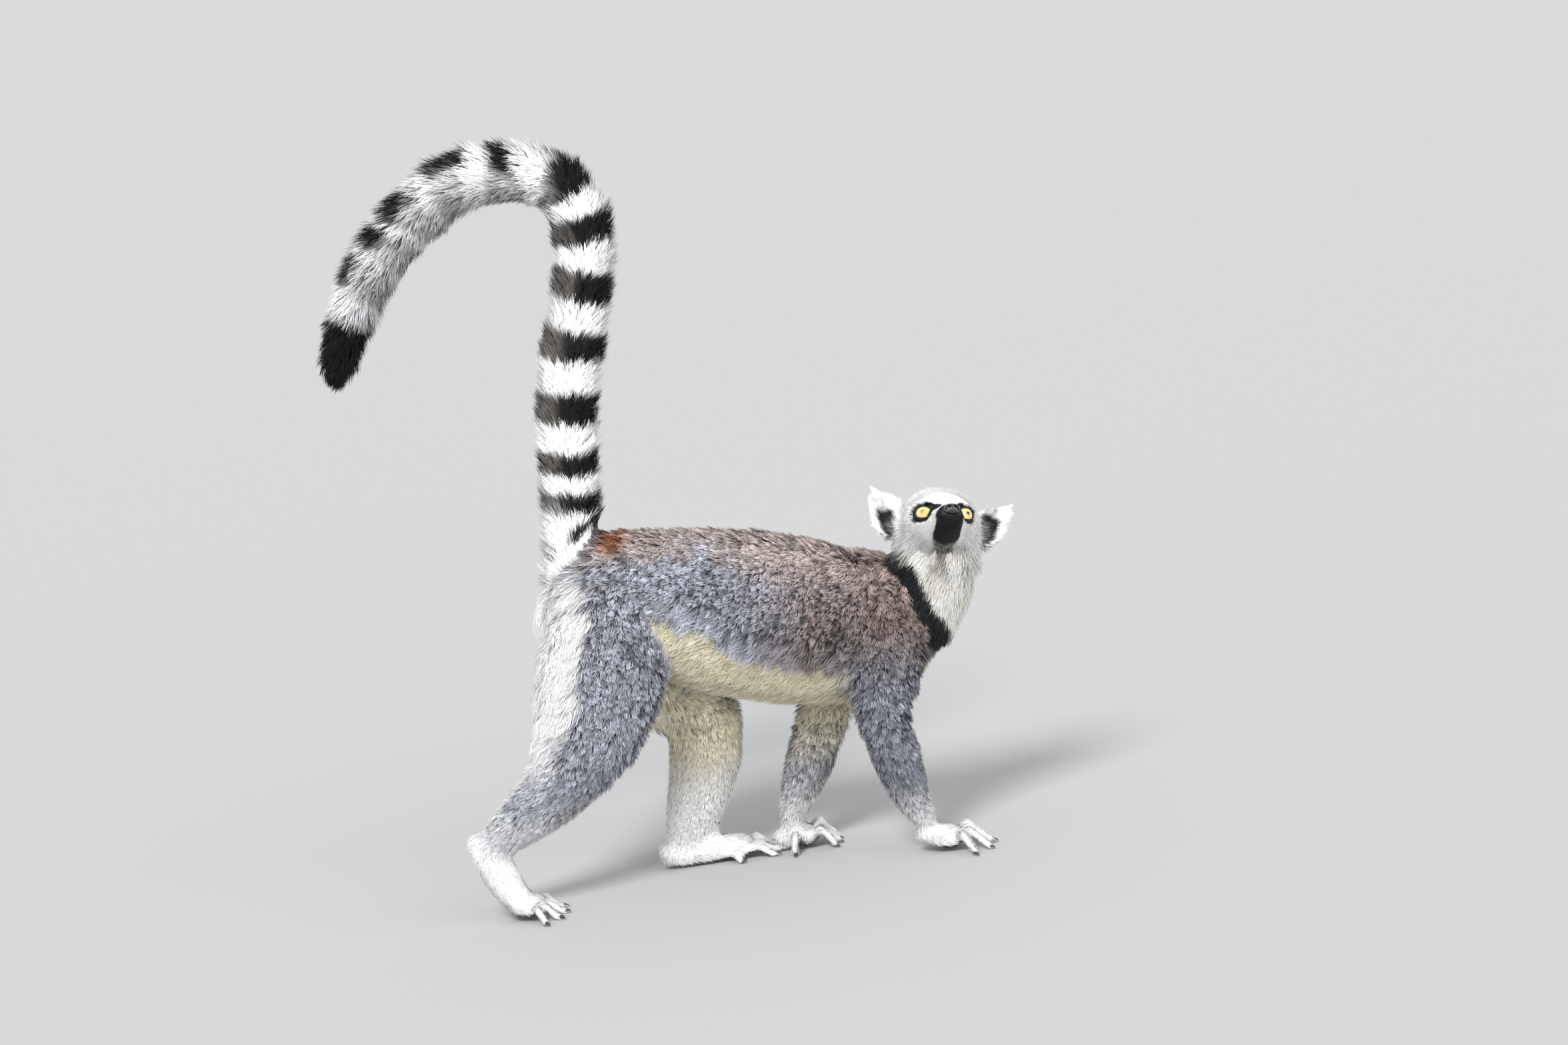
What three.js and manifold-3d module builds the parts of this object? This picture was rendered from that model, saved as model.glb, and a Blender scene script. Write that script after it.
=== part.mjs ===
// A life-size ring-tailed lemur walking on level ground, with its head turned to its right and
// lifted, and its tail raised and curled over backwards. Units are millimetres, +X is the way it
// walks, +Y its left side and +Z up. The origin is on the floor, under the middle of its box.
// The solids are the outer shape of the animal, out to the tips of its coat.
import * as THREE from "three";
import { mergeVertices } from "three/addons/utils/BufferGeometryUtils.js";
import Module from "manifold-3d";

const wasm = await Module();
wasm.setup();

// ---------------------------------------------------------------- driving dimensions
const MIDDLE = [187, -7.5]; // the middle of the box, from the ball of the right hind foot
const GAP = 0.3; // the clearance that parts one solid from the next

const HEAD = {
  centre: [401, -13, 274.5],
  turn: -74.3, // from the way it walks, towards its right side, in degrees
  lift: 35.8, // the muzzle above the horizon
  roll: 15.3, // towards its left shoulder
};
const EYE = { radius: 8.4, forward: 21.5, aside: 16.6, up: 1.6 };
const NOSE = { forward: 57, up: -11.5, long: 5, wide: 6.2, high: 4.8 };
const EAR = { long: 53, wide: 17.6, thick: 3.2, bow: 7, forward: -9, aside: 27, up: 4 };
const EAR_LIFT = { right: 57, left: 35 }; // each ear's own line above the head's side, in degrees
const DIGIT = { radius: 4.3, tip: 3.3 };

// ---------------------------------------------------------------- materials
const finish = (color, roughness = 0.95) => {
  return new THREE.MeshStandardMaterial({ color, roughness, metalness: 0 });
};
const COAT = {
  back: finish(0x8b817c),
  flank: finish(0x9a9796),
  leg: finish(0xa9a8a9),
  pale: finish(0xe4e1dc),
  tail: finish(0x9d9b9b),
  tip: finish(0x2a2a2d),
};
const SKIN = finish(0x1d1c20, 0.5);
const IRIS = finish(0xd9a441, 0.15);

// ---------------------------------------------------------------- making solids
const vector = (p) => new THREE.Vector3(...p);

// A manifold-3d solid from a three.js geometry.
function solidOf(geometry) {
  const bare = geometry.index ? geometry.clone() : geometry;
  bare.deleteAttribute("normal");
  bare.deleteAttribute("uv");
  const merged = mergeVertices(bare, 1e-4);
  return new wasm.Manifold(
    new wasm.Mesh({
      numProp: 3,
      vertProperties: merged.attributes.position.array,
      triVerts: new Uint32Array(merged.index.array),
    }),
  );
}

// A three.js geometry from a manifold-3d solid.
function geometryOf(solid) {
  const { numProp, vertProperties, triVerts } = solid.getMesh();
  const geometry = new THREE.BufferGeometry();
  const position = new Float32Array((vertProperties.length / numProp) * 3);
  for (let i = 0; i * numProp < vertProperties.length; i++) {
    position.set(vertProperties.subarray(i * numProp, i * numProp + 3), i * 3);
  }
  geometry.setAttribute("position", new THREE.BufferAttribute(position, 3));
  geometry.setIndex(new THREE.BufferAttribute(triVerts, 1));
  geometry.computeVertexNormals();
  return geometry;
}

// A closed surface through rings of points, with a fan over each end.
function closeRings(rings) {
  const sides = rings[0].length;
  const points = rings.flat();
  const faces = [];
  for (let r = 0; r + 1 < rings.length; r++) {
    for (let s = 0; s < sides; s++) {
      const a = r * sides + s;
      const b = r * sides + ((s + 1) % sides);
      faces.push(a, b, b + sides, a, b + sides, a + sides);
    }
  }
  for (const [ring, first, flip] of [
    [rings[0], 0, true],
    [rings.at(-1), (rings.length - 1) * sides, false],
  ]) {
    const hub = points.length;
    points.push(ring.reduce((sum, p) => sum.add(p), new THREE.Vector3()).divideScalar(sides));
    for (let s = 0; s < sides; s++) {
      const a = first + s;
      const b = first + ((s + 1) % sides);
      faces.push(...(flip ? [hub, b, a] : [hub, a, b]));
    }
  }
  const geometry = new THREE.BufferGeometry().setFromPoints(points);
  geometry.setIndex(faces);
  return geometry;
}

// A tube along a smooth line through stations. Each station is {at, wide, high, bow}: wide is half
// its width across, along the way that `across` points, high is half its height square to that, and
// bow bends its two edges up. `span` picks a stretch, in stations, and `grow` thickens it all round.
function tube(stations, options = {}, grow = 0) {
  const { sides = 12, steps = 3, across = [0, 1, 0], span, roundStart = 0, roundEnd = 0 } = options;
  const line = new THREE.CatmullRomCurve3(stations.map((s) => vector(s.at)));
  const size = new THREE.CatmullRomCurve3(
    stations.map((s) => new THREE.Vector3(s.wide, s.high ?? s.wide, s.bow ?? 0)),
    false,
    "catmullrom",
    0.5,
  );
  const last = stations.length - 1;
  const [from, to] = span ?? [0, last];
  const count = Math.max(1, Math.round((to - from) * steps));

  const ringAt = (t, shift, scale) => {
    const along = line.getTangent(t);
    const side = vector(across).addScaledVector(along, -vector(across).dot(along)).normalize();
    const up = new THREE.Vector3().crossVectors(along, side);
    const centre = line.getPoint(t).addScaledVector(along, shift);
    const { x: wide, y: high, z: bow } = size.getPoint(t);
    return Array.from({ length: sides }, (_, s) => {
      const angle = (2 * Math.PI * s) / sides;
      const out = Math.cos(angle);
      const rise = Math.sin(angle) * (high * scale + grow) + bow * out * out * scale;
      return centre.clone().addScaledVector(side, out * (wide * scale + grow)).addScaledVector(up, rise);
    });
  };

  const rings = [];
  const domeSteps = sides > 8 ? 2 : 1;
  const dome = (t, length, direction) =>
    Array.from({ length: domeSteps }, (_, k) => {
      const angle = ((k + 1) / (domeSteps + 0.35)) * (Math.PI / 2);
      return ringAt(t, direction * (length + grow) * Math.sin(angle), Math.cos(angle));
    });
  if (roundStart) rings.push(...dome(from / last, roundStart, -1).reverse());
  for (let i = 0; i <= count; i++) {
    const shift = grow * ((i === count && !roundEnd) - (i === 0 && !roundStart));
    rings.push(ringAt((from + ((to - from) * i) / count) / last, shift, 1));
  }
  if (roundEnd) rings.push(...dome(to / last, roundEnd, 1));
  return closeRings(rings);
}

function ball(at, radii, grow = 0, detail = [10, 7]) {
  const geometry = new THREE.SphereGeometry(1, ...detail);
  return geometry.scale(...radii.map((r) => r + grow)).translate(...at);
}

// ---------------------------------------------------------------- placing the nodes
const lemur = new THREE.Group();
lemur.position.set(-MIDDLE[0], -MIDDLE[1], 0);
const placed = [];
const FLOOR_DEPTH = 60;
const underfloor = solidOf(
  new THREE.BoxGeometry(1200, 400, FLOOR_DEPTH).translate(MIDDLE[0], 0, -FLOOR_DEPTH / 2),
);

// Adds one node. `make` gives its geometry, thickened by its argument. It is cut back from every
// node placed before it and from the floor, and its largest piece is kept.
function place(name, material, make) {
  let solid = solidOf(make(0)).subtract(underfloor);
  for (const other of placed) solid = solid.subtract(other);
  const pieces = solid.decompose().sort((a, b) => b.volume() - a.volume());
  const mesh = new THREE.Mesh(geometryOf(pieces[0]), material);
  mesh.name = name;
  lemur.add(mesh);
  placed.push(solidOf(make(GAP)));
}

// ---------------------------------------------------------------- head
const degrees = THREE.MathUtils.degToRad;
const headTurn = new THREE.Euler(...[-HEAD.roll, -HEAD.lift, HEAD.turn].map(degrees), "ZYX");
const headFrame = new THREE.Matrix4().makeRotationFromEuler(headTurn).setPosition(...HEAD.centre);

// A point given forward of, to the left of and above the middle of the braincase.
const inHead = (forward, left, up) => new THREE.Vector3(forward, left, up).applyMatrix4(headFrame);

// From the nape to the tip of the muzzle: how far forward, the middle's height, half width, half height.
const SKULL = [
  [-38, -2, 18, 16],
  [-30, -1, 28, 26],
  [-16, 1, 33.5, 31.5],
  [-3, 2, 35, 33],
  [9, 0, 33.5, 31.5],
  [18, -4, 27.5, 24.5],
  [27, -9.5, 17.5, 17.5],
  [37, -12.5, 13.6, 13.6],
  [47, -13.5, 12.2, 11.8],
  [54, -14.5, 10, 9.5],
];

function head(grow) {
  const stations = SKULL.map(([forward, up, wide, high]) => ({ at: [forward, 0, up], wide, high }));
  const shape = tube(stations, { sides: 16, steps: 1, roundStart: 9, roundEnd: 5 }, grow);
  return shape.applyMatrix4(headFrame);
}

// A cupped leaf that stands out from the side of the head, `side` 1 on the left and -1 on the right.
function ear(side, lift, grow) {
  // How far out, how wide there, and how far its middle hangs towards the lobe.
  const leaf = [
    [0, 0.95, 7],
    [0.22, 1, 6.5],
    [0.46, 0.76, 3.4],
    [0.68, 0.47, 1.8],
    [0.86, 0.23, 0.5],
    [1, 0.08, 0],
  ];
  const [rise, run] = [Math.sin(degrees(lift)), Math.cos(degrees(lift))];
  const out = new THREE.Vector3(-0.12, side * run, rise);
  const lobe = new THREE.Vector3(0, side * rise, -run);
  const root = new THREE.Vector3(EAR.forward, side * EAR.aside, EAR.up);
  const stations = leaf.map(([share, spread, hang]) => ({
    at: root.clone().addScaledVector(out, share * EAR.long).addScaledVector(lobe, hang).toArray(),
    wide: EAR.wide * spread,
    high: EAR.thick * (0.6 + 0.4 * spread),
    bow: EAR.bow * spread,
  }));
  const across = [0.15 * side, -rise, side * run];
  const shape = tube(stations, { sides: 10, steps: 1.2, across }, grow);
  return shape.applyMatrix4(headFrame);
}

for (const [name, side] of [["left", 1], ["right", -1]]) {
  const at = inHead(EYE.forward, side * EYE.aside, EYE.up).toArray();
  place(`eye_${name}`, IRIS, (grow) => ball(at, [EYE.radius, EYE.radius, EYE.radius], grow));
}
place("nose", SKIN, (grow) =>
  ball([NOSE.forward, 0, NOSE.up], [NOSE.long, NOSE.wide, NOSE.high], grow).applyMatrix4(headFrame),
);
place("head", COAT.pale, head);
place("ear_left", COAT.pale, (grow) => ear(1, EAR_LIFT.left, grow));
place("ear_right", COAT.pale, (grow) => ear(-1, EAR_LIFT.right, grow));

// ---------------------------------------------------------------- limbs
// A station: its place, half its depth fore and aft, and half its width from side to side.
const station = (x, y, z, high, wide) => ({ at: [x, y, z], high, wide });

const LEGS = {
  right: {
    leg: [
      station(120, -25, 268, 36, 20),
      station(108, -33, 233, 55, 26),
      station(95, -39, 195, 56, 27),
      station(80, -44, 157, 50, 26),
      station(53, -46, 121, 36, 22),
      station(20, -46, 95, 28.5, 18),
      station(-9, -45, 78, 22, 15),
      station(-26, -44, 64, 16, 13),
    ],
    foot: [
      station(-34, -43, 74, 12, 10),
      station(-27, -45, 56, 17, 14),
      station(-20, -47, 36, 15.5, 14),
      station(-10, -50, 17, 13, 16),
      station(3, -53, 8.5, 12, 16.5),
    ],
    digits: { root: [0, -52, 12], heading: -16, fan: [70, 24, 4, -18, -44], arch: 3, inward: 1 },
    knee: 4,
  },
  left: {
    leg: [
      station(120, 25, 262, 36, 20),
      station(133, 32, 214, 50, 26),
      station(149, 38, 166, 47, 27),
      station(172, 42, 126, 38, 24),
      station(166, 44, 90, 34, 20),
      station(154, 44, 58, 29, 17),
      station(142, 44, 32, 23, 14),
      station(139, 44, 18, 15, 12),
    ],
    foot: [
      station(121, 44, 15, 12, 11),
      station(140, 44, 14.2, 15.6, 13),
      station(166, 45, 11.4, 12.6, 15),
      station(189, 47, 9.5, 10.1, 16.5),
    ],
    digits: { root: [190, 47, 10], heading: 4, fan: [-58, -20, -5, 9, 26], arch: 2, inward: -1 },
    knee: 3,
  },
};

const ARMS = {
  right: {
    leg: [
      station(345, -22, 232, 28, 17),
      station(341, -31, 192, 38, 22),
      station(336, -39, 161, 35, 22),
      station(327, -44, 136, 28.5, 19),
      station(329, -46, 110, 25, 18),
      station(334, -46, 84, 23, 16),
      station(338, -45, 60, 20, 14),
      station(343, -44, 43, 16, 13),
      station(350, -44, 29, 12, 12),
    ],
    foot: [
      station(345, -44, 22, 9, 10),
      station(354, -45, 17, 10.5, 13),
      station(365, -47, 11, 11.6, 14.5),
      station(374, -48, 9, 9.6, 14.5),
    ],
    digits: { root: [373, -48, 13], heading: -12, fan: [62, 22, 2, -20, -48], arch: 8, inward: 1 },
    knee: 4,
  },
  left: {
    leg: [
      station(330, 22, 222, 28, 17),
      station(308, 32, 172, 32, 21),
      station(283, 38, 131, 27, 20),
      station(266, 43, 94, 25, 18),
      station(255, 44, 70, 23, 16),
      station(244, 44, 50, 19, 14),
      station(236, 44, 33, 14, 12),
      station(234, 44, 20, 10, 11),
    ],
    foot: [
      station(224, 44, 14, 9, 10),
      station(233, 44, 13, 11, 12),
      station(243, 44, 10, 11.1, 14),
      station(250, 44, 9, 9.6, 14),
    ],
    digits: { root: [249, 44, 13], heading: -6, fan: [-96, -20, -4, 12, 30], arch: 10, inward: -1 },
    knee: 3,
  },
};
const TOES = { lengths: [21, 27, 30, 31, 27], rootWidth: 27, thumbBack: 17 };
const FINGERS = { right: [19, 27, 32, 33, 28], left: [22, 22, 24, 24, 21], rootWidth: 24, thumbBack: 12 };

// One arched digit, the first being the thumb or big toe, that comes down on the pad of its tip.
function digit({ root, heading, fan, arch, inward }, index, length, { rootWidth, thumbBack }, grow) {
  const angle = degrees(heading + fan[index]);
  const [forward, aside] = [Math.cos(angle), Math.sin(angle)];
  const [x, y, z] = index
    ? [root[0], root[1] + (2.5 - index) * (rootWidth / 3) * inward, root[2]]
    : [root[0] - thumbBack, root[1] + inward * rootWidth * 0.4, root[2] - 1];
  const at = (share, height) => [x + forward * length * share, y + aside * length * share, height];
  const pad = DIGIT.tip * 0.6;
  const stations = [
    { at: at(-0.15, z - 2), wide: DIGIT.radius + 0.9 },
    { at: at(0.4, z + arch * 0.6), wide: DIGIT.radius },
    { at: at(0.78, pad + arch * 0.7), wide: DIGIT.radius * 0.9 },
    { at: at(1, pad), wide: DIGIT.tip },
  ];
  const across = [-aside, forward, 0];
  return tube(stations, { sides: 6, steps: 1, across, roundEnd: 3 }, grow);
}

// The nodes of one limb, from its foot up.
function placeLimb(limb, side, [upper, lower, end, digitName], lengths, spacing) {
  const last = limb.leg.length - 1;
  place(`${end}_${side}`, COAT.pale, (grow) =>
    tube(limb.foot, { sides: 10, steps: 1.2, roundStart: 7, roundEnd: 5 }, grow),
  );
  lengths.forEach((length, index) => {
    place(`${digitName}_${side}_${index + 1}`, COAT.pale, (grow) =>
      digit(limb.digits, index, length, spacing, grow),
    );
  });
  place(`${lower}_${side}`, COAT.leg, (grow) =>
    tube(limb.leg, { sides: 12, steps: 1.25, span: [limb.knee, last], roundEnd: 4 }, grow),
  );
  place(`${upper}_${side}`, COAT.flank, (grow) =>
    tube(limb.leg, { sides: 12, steps: 1.25, span: [0, limb.knee], roundStart: 16 }, grow),
  );
}

for (const side of ["left", "right"]) {
  placeLimb(LEGS[side], side, ["thigh", "shank", "foot", "toe"], TOES.lengths, TOES);
  placeLimb(ARMS[side], side, ["upper_arm", "forearm", "hand", "finger"], FINGERS[side], FINGERS);
}

// ---------------------------------------------------------------- neck and trunk
const NECK = [
  station(365, -2, 199, 43, 34),
  station(386, -5, 229, 41, 33),
  station(397, -9, 257, 35, 31),
  station(402, -11, 276, 28, 28),
];
place("neck", COAT.pale, (grow) => tube(NECK, { sides: 14, steps: 1, roundStart: 10 }, grow));

const TRUNK = [
  station(66, 0, 274, 17, 15),
  station(82, 0, 268, 45, 33),
  station(105, 0, 261, 58, 42),
  station(136, 0, 254, 62.5, 46),
  station(175, 0, 240, 70, 50),
  station(219, 0, 227, 75, 53),
  station(263, 0, 213, 75, 53),
  station(305, 0, 203, 70, 49),
  station(342, -1, 202, 62, 43),
  station(367, -2, 206, 52, 36),
];
const TRUNK_CUTS = { rump: [0, 3.4], belly: [3.4, 6], chest: [6, 9] };
const TRUNK_FINISH = { rump: COAT.flank, belly: COAT.back, chest: COAT.back };
for (const [name, span] of Object.entries(TRUNK_CUTS)) {
  const options = { sides: 16, steps: 1.1, span };
  if (name === "rump") options.roundStart = 10;
  if (name === "chest") options.roundEnd = 26;
  place(name, TRUNK_FINISH[name], (grow) => tube(TRUNK, options, grow));
}

// ---------------------------------------------------------------- tail
const TAIL = [
  station(84, 0, 275, 26, 24),
  station(86, 0, 318, 29, 27),
  station(92.5, 1, 365, 27.5, 27),
  station(97, 3, 412, 28, 28),
  station(106, 5, 455, 29, 29),
  station(123, 6, 507, 28, 28),
  station(138, 6, 560, 28, 28),
  station(136, 4, 602, 28.5, 28.5),
  station(110.5, 1, 632, 28, 28),
  station(70, -2, 640, 26.5, 27),
  station(29, -5, 632, 26.5, 27),
  station(-7, -8, 610, 25, 26),
  station(-38.5, -11, 581, 23.5, 24.5),
  station(-64.5, -13, 543, 22, 23),
  station(-80, -14, 512, 17, 17),
  station(-89, -14, 491, 8, 8),
];
const TAIL_LENGTHS = 6;
const perLength = (TAIL.length - 1) / TAIL_LENGTHS;
for (let i = 0; i < TAIL_LENGTHS; i++) {
  const span = [i * perLength, (i + 1) * perLength];
  const last = i === TAIL_LENGTHS - 1;
  const options = { sides: 12, steps: 1.2, span, roundEnd: last ? 6 : 0 };
  place(`tail_${i + 1}`, last ? COAT.tip : COAT.tail, (grow) => tube(TAIL, options, grow));
}

export default lemur;
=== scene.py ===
import math

import bmesh
import bpy
import numpy as np
from mathutils import Matrix, Vector
from mathutils.bvhtree import BVHTree
from mathutils.kdtree import KDTree


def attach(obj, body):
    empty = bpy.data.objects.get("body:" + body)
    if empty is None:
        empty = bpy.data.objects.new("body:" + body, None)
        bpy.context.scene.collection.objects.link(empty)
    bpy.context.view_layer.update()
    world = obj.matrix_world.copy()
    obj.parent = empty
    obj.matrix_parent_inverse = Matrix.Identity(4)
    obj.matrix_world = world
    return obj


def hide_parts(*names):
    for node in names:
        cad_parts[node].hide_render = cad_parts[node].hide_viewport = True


# A ring-tailed lemur, life size: one skin over the CAD solids' places, a coat of mesh tufts that
# stands on it out to the solids' outline, and the eyes, nose and nails.
# Lengths are in millimetres, in the frame's axes, and become metres where a mesh is made.
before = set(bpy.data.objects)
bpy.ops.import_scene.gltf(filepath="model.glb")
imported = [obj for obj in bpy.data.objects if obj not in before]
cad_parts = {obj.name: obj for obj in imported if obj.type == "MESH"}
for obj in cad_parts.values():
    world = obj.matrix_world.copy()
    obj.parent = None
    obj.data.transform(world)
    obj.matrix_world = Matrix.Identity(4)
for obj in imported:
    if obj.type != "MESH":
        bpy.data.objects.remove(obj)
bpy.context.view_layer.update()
SCENE = bpy.context.scene
MM = 0.001
SEED = 7
UP = np.array([0.0, 0.0, 1.0])
LEFT = np.array([0.0, 1.0, 0.0])
SIDES = {"right": -1, "left": 1}

# The photograph's view: the lens looks down on the animal and is rolled by the log's slope.
LOOK_DOWN = math.radians(10.0)
ROLL = math.radians(9.2)
CAMERA_DISTANCE = 4000.0
CAMERA_TARGET = np.array([82.2, 7.5, 299.4])
PHOTO_WIDTH = 2352
PHOTO_PIXELS_PER_MM = 1.73
SENSOR = 36.0
FARTHEST_SEEN = 500.0

# The suns, by the way their light travels, their strength and their width in degrees; the air; the floor.
SUNS = {"key": ((0.26, 0.78, -0.80), 2.8, 18), "fill": ((-0.55, 0.78, -0.15), 1.8, 60)}
AIR = (0.97, 0.98, 1.0, 1)
AIR_STRENGTH = 0.76
FLOOR_GREY = (0.46, 0.46, 0.46, 1)
FLOOR_REACH = 90000.0

# The coat by part. depth: how deep the skin lies under the tips; lift: the angle a tuft stands at, in
# degrees; width: a tuft's own; count: tufts to a square millimetre; clump, curl: how strongly they lean
# together and curl; root, tip: how light its ends are next to the marking's own colour. The darker roots
# are partly the hairs' own darker bases and partly painted shade in the gaps between the tufts.
COAT_KEYS = ("depth", "lift", "width", "count", "clump", "curl", "root", "tip")
COAT = {
    "head": (4.6, 30, 0.56, 2.10, 0.18, 0.05, 0.72, 1.12),
    "ear": (0.9, 17, 0.45, 3.00, 0.10, 0.04, 0.85, 1.10),
    "neck": (7.0, 31, 0.76, 1.60, 0.25, 0.08, 0.60, 1.12),
    "trunk": (9.0, 56, 0.70, 1.28, 0.72, 0.16, 0.14, 1.60),
    "tail": (14.0, 46, 0.82, 0.95, 0.42, 0.07, 0.55, 1.12),
    "thigh": (8.0, 48, 0.72, 1.25, 0.70, 0.16, 0.17, 1.60),
    "shank": (4.8, 36, 0.64, 1.45, 0.50, 0.12, 0.28, 1.45),
    "foot": (1.5, 17, 0.60, 2.20, 0.18, 0.06, 0.75, 1.12),
    "digit": (1.0, 16, 0.50, 2.90, 0.12, 0.05, 0.80, 1.10),
}
GROUPS = list(COAT)
# The row of COAT for a node, by its name's first word, where that word isn't the row's own name.
GROUP_OF = {
    "rump": "trunk", "belly": "trunk", "chest": "trunk", "upper": "thigh", "forearm": "shank",
    "hand": "foot", "finger": "digit", "toe": "digit",
}


# ---- small helpers


def unit(vectors):
    """The vectors at length one."""
    return vectors / np.maximum(np.linalg.norm(vectors, axis=-1, keepdims=True), 1e-9)


def lengths(vectors):
    """The vectors' lengths."""
    return np.linalg.norm(vectors, axis=-1)


def dots(a, b):
    """Row by row dot product."""
    return (a * b).sum(axis=-1)


def rows_of(*values):
    """A row for each place, with its number from each of the values."""
    return np.stack(values, axis=1)


def ramp(value, low, high):
    """0 below low, 1 above high, and a smooth step between them."""
    t = np.clip((value - low) / (high - low), 0.0, 1.0)
    return t * t * (3 - 2 * t)


def mix(a, b, share):
    """a where share is 0 and b where it is 1, row by row."""
    share = np.asarray(share)[..., None]
    return np.asarray(a) * (1 - share) + np.asarray(b) * share


def layered(colour, *layers):
    """A colour with others laid over it in turn, each by its share at each place."""
    for over, share in layers:
        colour = mix(colour, over, share)
    return colour


def noise(places, size, seed):
    """Smooth value noise from -1 to 1, with lumps of the given size."""
    table = np.random.default_rng(seed).uniform(-1, 1, 4096)
    scaled = places / size + seed * 3.17
    cell = np.floor(scaled).astype(np.int64)
    part = scaled - cell
    part = part * part * (3 - 2 * part)
    total = np.zeros(len(places))
    for corner in np.ndindex(2, 2, 2):
        x, y, z = (cell + corner).T
        picked = table[(x * 73856093 ^ y * 19349663 ^ z * 83492791) & 4095]
        weight = np.prod(np.where(corner, part, 1 - part), axis=1)
        total += picked * weight
    return total


def node_group(name):
    """Which row of COAT a CAD node belongs to."""
    word = name.split("_")[0]
    return GROUP_OF.get(word, word)


def triangles_of(mesh):
    """A mesh's triangles, as rows of vertex numbers."""
    mesh.calc_loop_triangles()
    corners = np.empty(len(mesh.loop_triangles) * 3, int)
    mesh.loop_triangles.foreach_get("vertices", corners)
    return corners.reshape(-1, 3)


def places_of(mesh):
    """A mesh's vertices in millimetres."""
    places = np.empty(len(mesh.vertices) * 3)
    mesh.vertices.foreach_get("co", places)
    return places.reshape(-1, 3) / MM


def node_points(name):
    """A CAD node's vertices in millimetres."""
    return places_of(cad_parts[name].data)


def box_middle(points):
    """The middle of the box round some points."""
    return (points.min(axis=0) + points.max(axis=0)) / 2


def stacked(*parts):
    """Several meshes, each as places and faces, as one."""
    starts = np.cumsum([0, *[len(places) for places, _ in parts]])
    faces = [faces + start for (_, faces), start in zip(parts, starts)]
    return np.vstack([places for places, _ in parts]), np.vstack(faces)


def nodes_from(*starts):
    """Names of the CAD nodes that start with one of these words, in order."""
    return sorted(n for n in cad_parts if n.startswith(starts))


def side_of(name):
    """-1 for a node of the right side, 1 for the left, 0 for one in the middle."""
    return next((sign for side, sign in SIDES.items() if side in name), 0)


def tree_of(points, numbers):
    """A search tree of points, each known by its number."""
    tree = KDTree(len(points))
    for point, number in zip(points.tolist(), numbers):
        tree.insert(point, number)
    tree.balance()
    return tree


def add_object(name, data):
    """A new object in the scene."""
    made = bpy.data.objects.new(name, data)
    SCENE.collection.objects.link(made)
    return made


def set_inputs(node, values):
    """Sets constants on a shader node's sockets."""
    for socket, value in values.items():
        node.inputs[socket].default_value = value


def make_mesh(name, places, faces, colours=None, normals=None, patches=None):
    """A mesh object from places in millimetres and equal-sized faces."""
    mesh = bpy.data.meshes.new(name)
    faces = np.asarray(faces, dtype=np.int32)
    count, corners = faces.shape
    mesh.vertices.add(len(places))
    mesh.vertices.foreach_set("co", (np.asarray(places) * MM).astype(np.float32).ravel())
    mesh.loops.add(faces.size)
    mesh.loops.foreach_set("vertex_index", faces.ravel())
    mesh.polygons.add(count)
    mesh.polygons.foreach_set("loop_start", np.arange(0, faces.size, corners, dtype=np.int32))
    mesh.polygons.foreach_set("use_smooth", np.ones(count, bool))
    if patches is not None:
        layer = mesh.uv_layers.new(name="OFBake")
        layer.data.foreach_set("uv", patches[faces.ravel()].astype(np.float32).ravel())
    mesh.update(calc_edges=True)
    if colours is not None:
        rgba = np.ones((len(places), 4), np.float32)
        rgba[:, :3] = colours
        mesh.color_attributes.new("tint", "FLOAT_COLOR", "POINT").data.foreach_set("color", rgba.ravel())
    if normals is not None:
        mesh.normals_split_custom_set_from_vertices(normals)
    return add_object(name, mesh)


def dress(piece, material, slot, *stands_for):
    """Gives a piece its material and its body, and hides the CAD nodes that it stands for; slot is not
    used.
    """
    piece.data.materials.append(material)
    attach(piece, "root")
    if stands_for:
        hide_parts(*stands_for)
    return piece


# ---- camera, floor and light


def add_camera():
    """The photograph's camera, at its distance, tilt and roll."""
    ahead = np.array([0.0, math.cos(LOOK_DOWN), -math.sin(LOOK_DOWN)])
    level_up = np.array([0.0, math.sin(LOOK_DOWN), math.cos(LOOK_DOWN)])
    level_right = np.array([1.0, 0.0, 0.0])
    right = level_right * math.cos(ROLL) - level_up * math.sin(ROLL)
    up = level_right * math.sin(ROLL) + level_up * math.cos(ROLL)
    lens = bpy.data.cameras.new("camera")
    lens.sensor_width = SENSOR
    lens.lens = SENSOR * PHOTO_PIXELS_PER_MM * CAMERA_DISTANCE / PHOTO_WIDTH
    lens.clip_end = FARTHEST_SEEN
    camera = add_object("camera", lens)
    axes = np.eye(4)
    axes[:3, :3] = rows_of(right, up, -ahead)
    axes[:3, 3] = (CAMERA_TARGET - CAMERA_DISTANCE * ahead) * MM
    camera.matrix_world = Matrix(axes.tolist())
    SCENE.camera = camera


def add_light(name, toward, strength, angle):
    """A wide soft sun whose light travels along toward."""
    lamp = bpy.data.lights.new(name, "SUN")
    lamp.energy = strength
    lamp.angle = math.radians(angle)
    sun = add_object(name, lamp)
    sun.rotation_mode = "QUATERNION"
    sun.rotation_quaternion = Vector(toward).to_track_quat("-Z", "Y")


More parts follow.
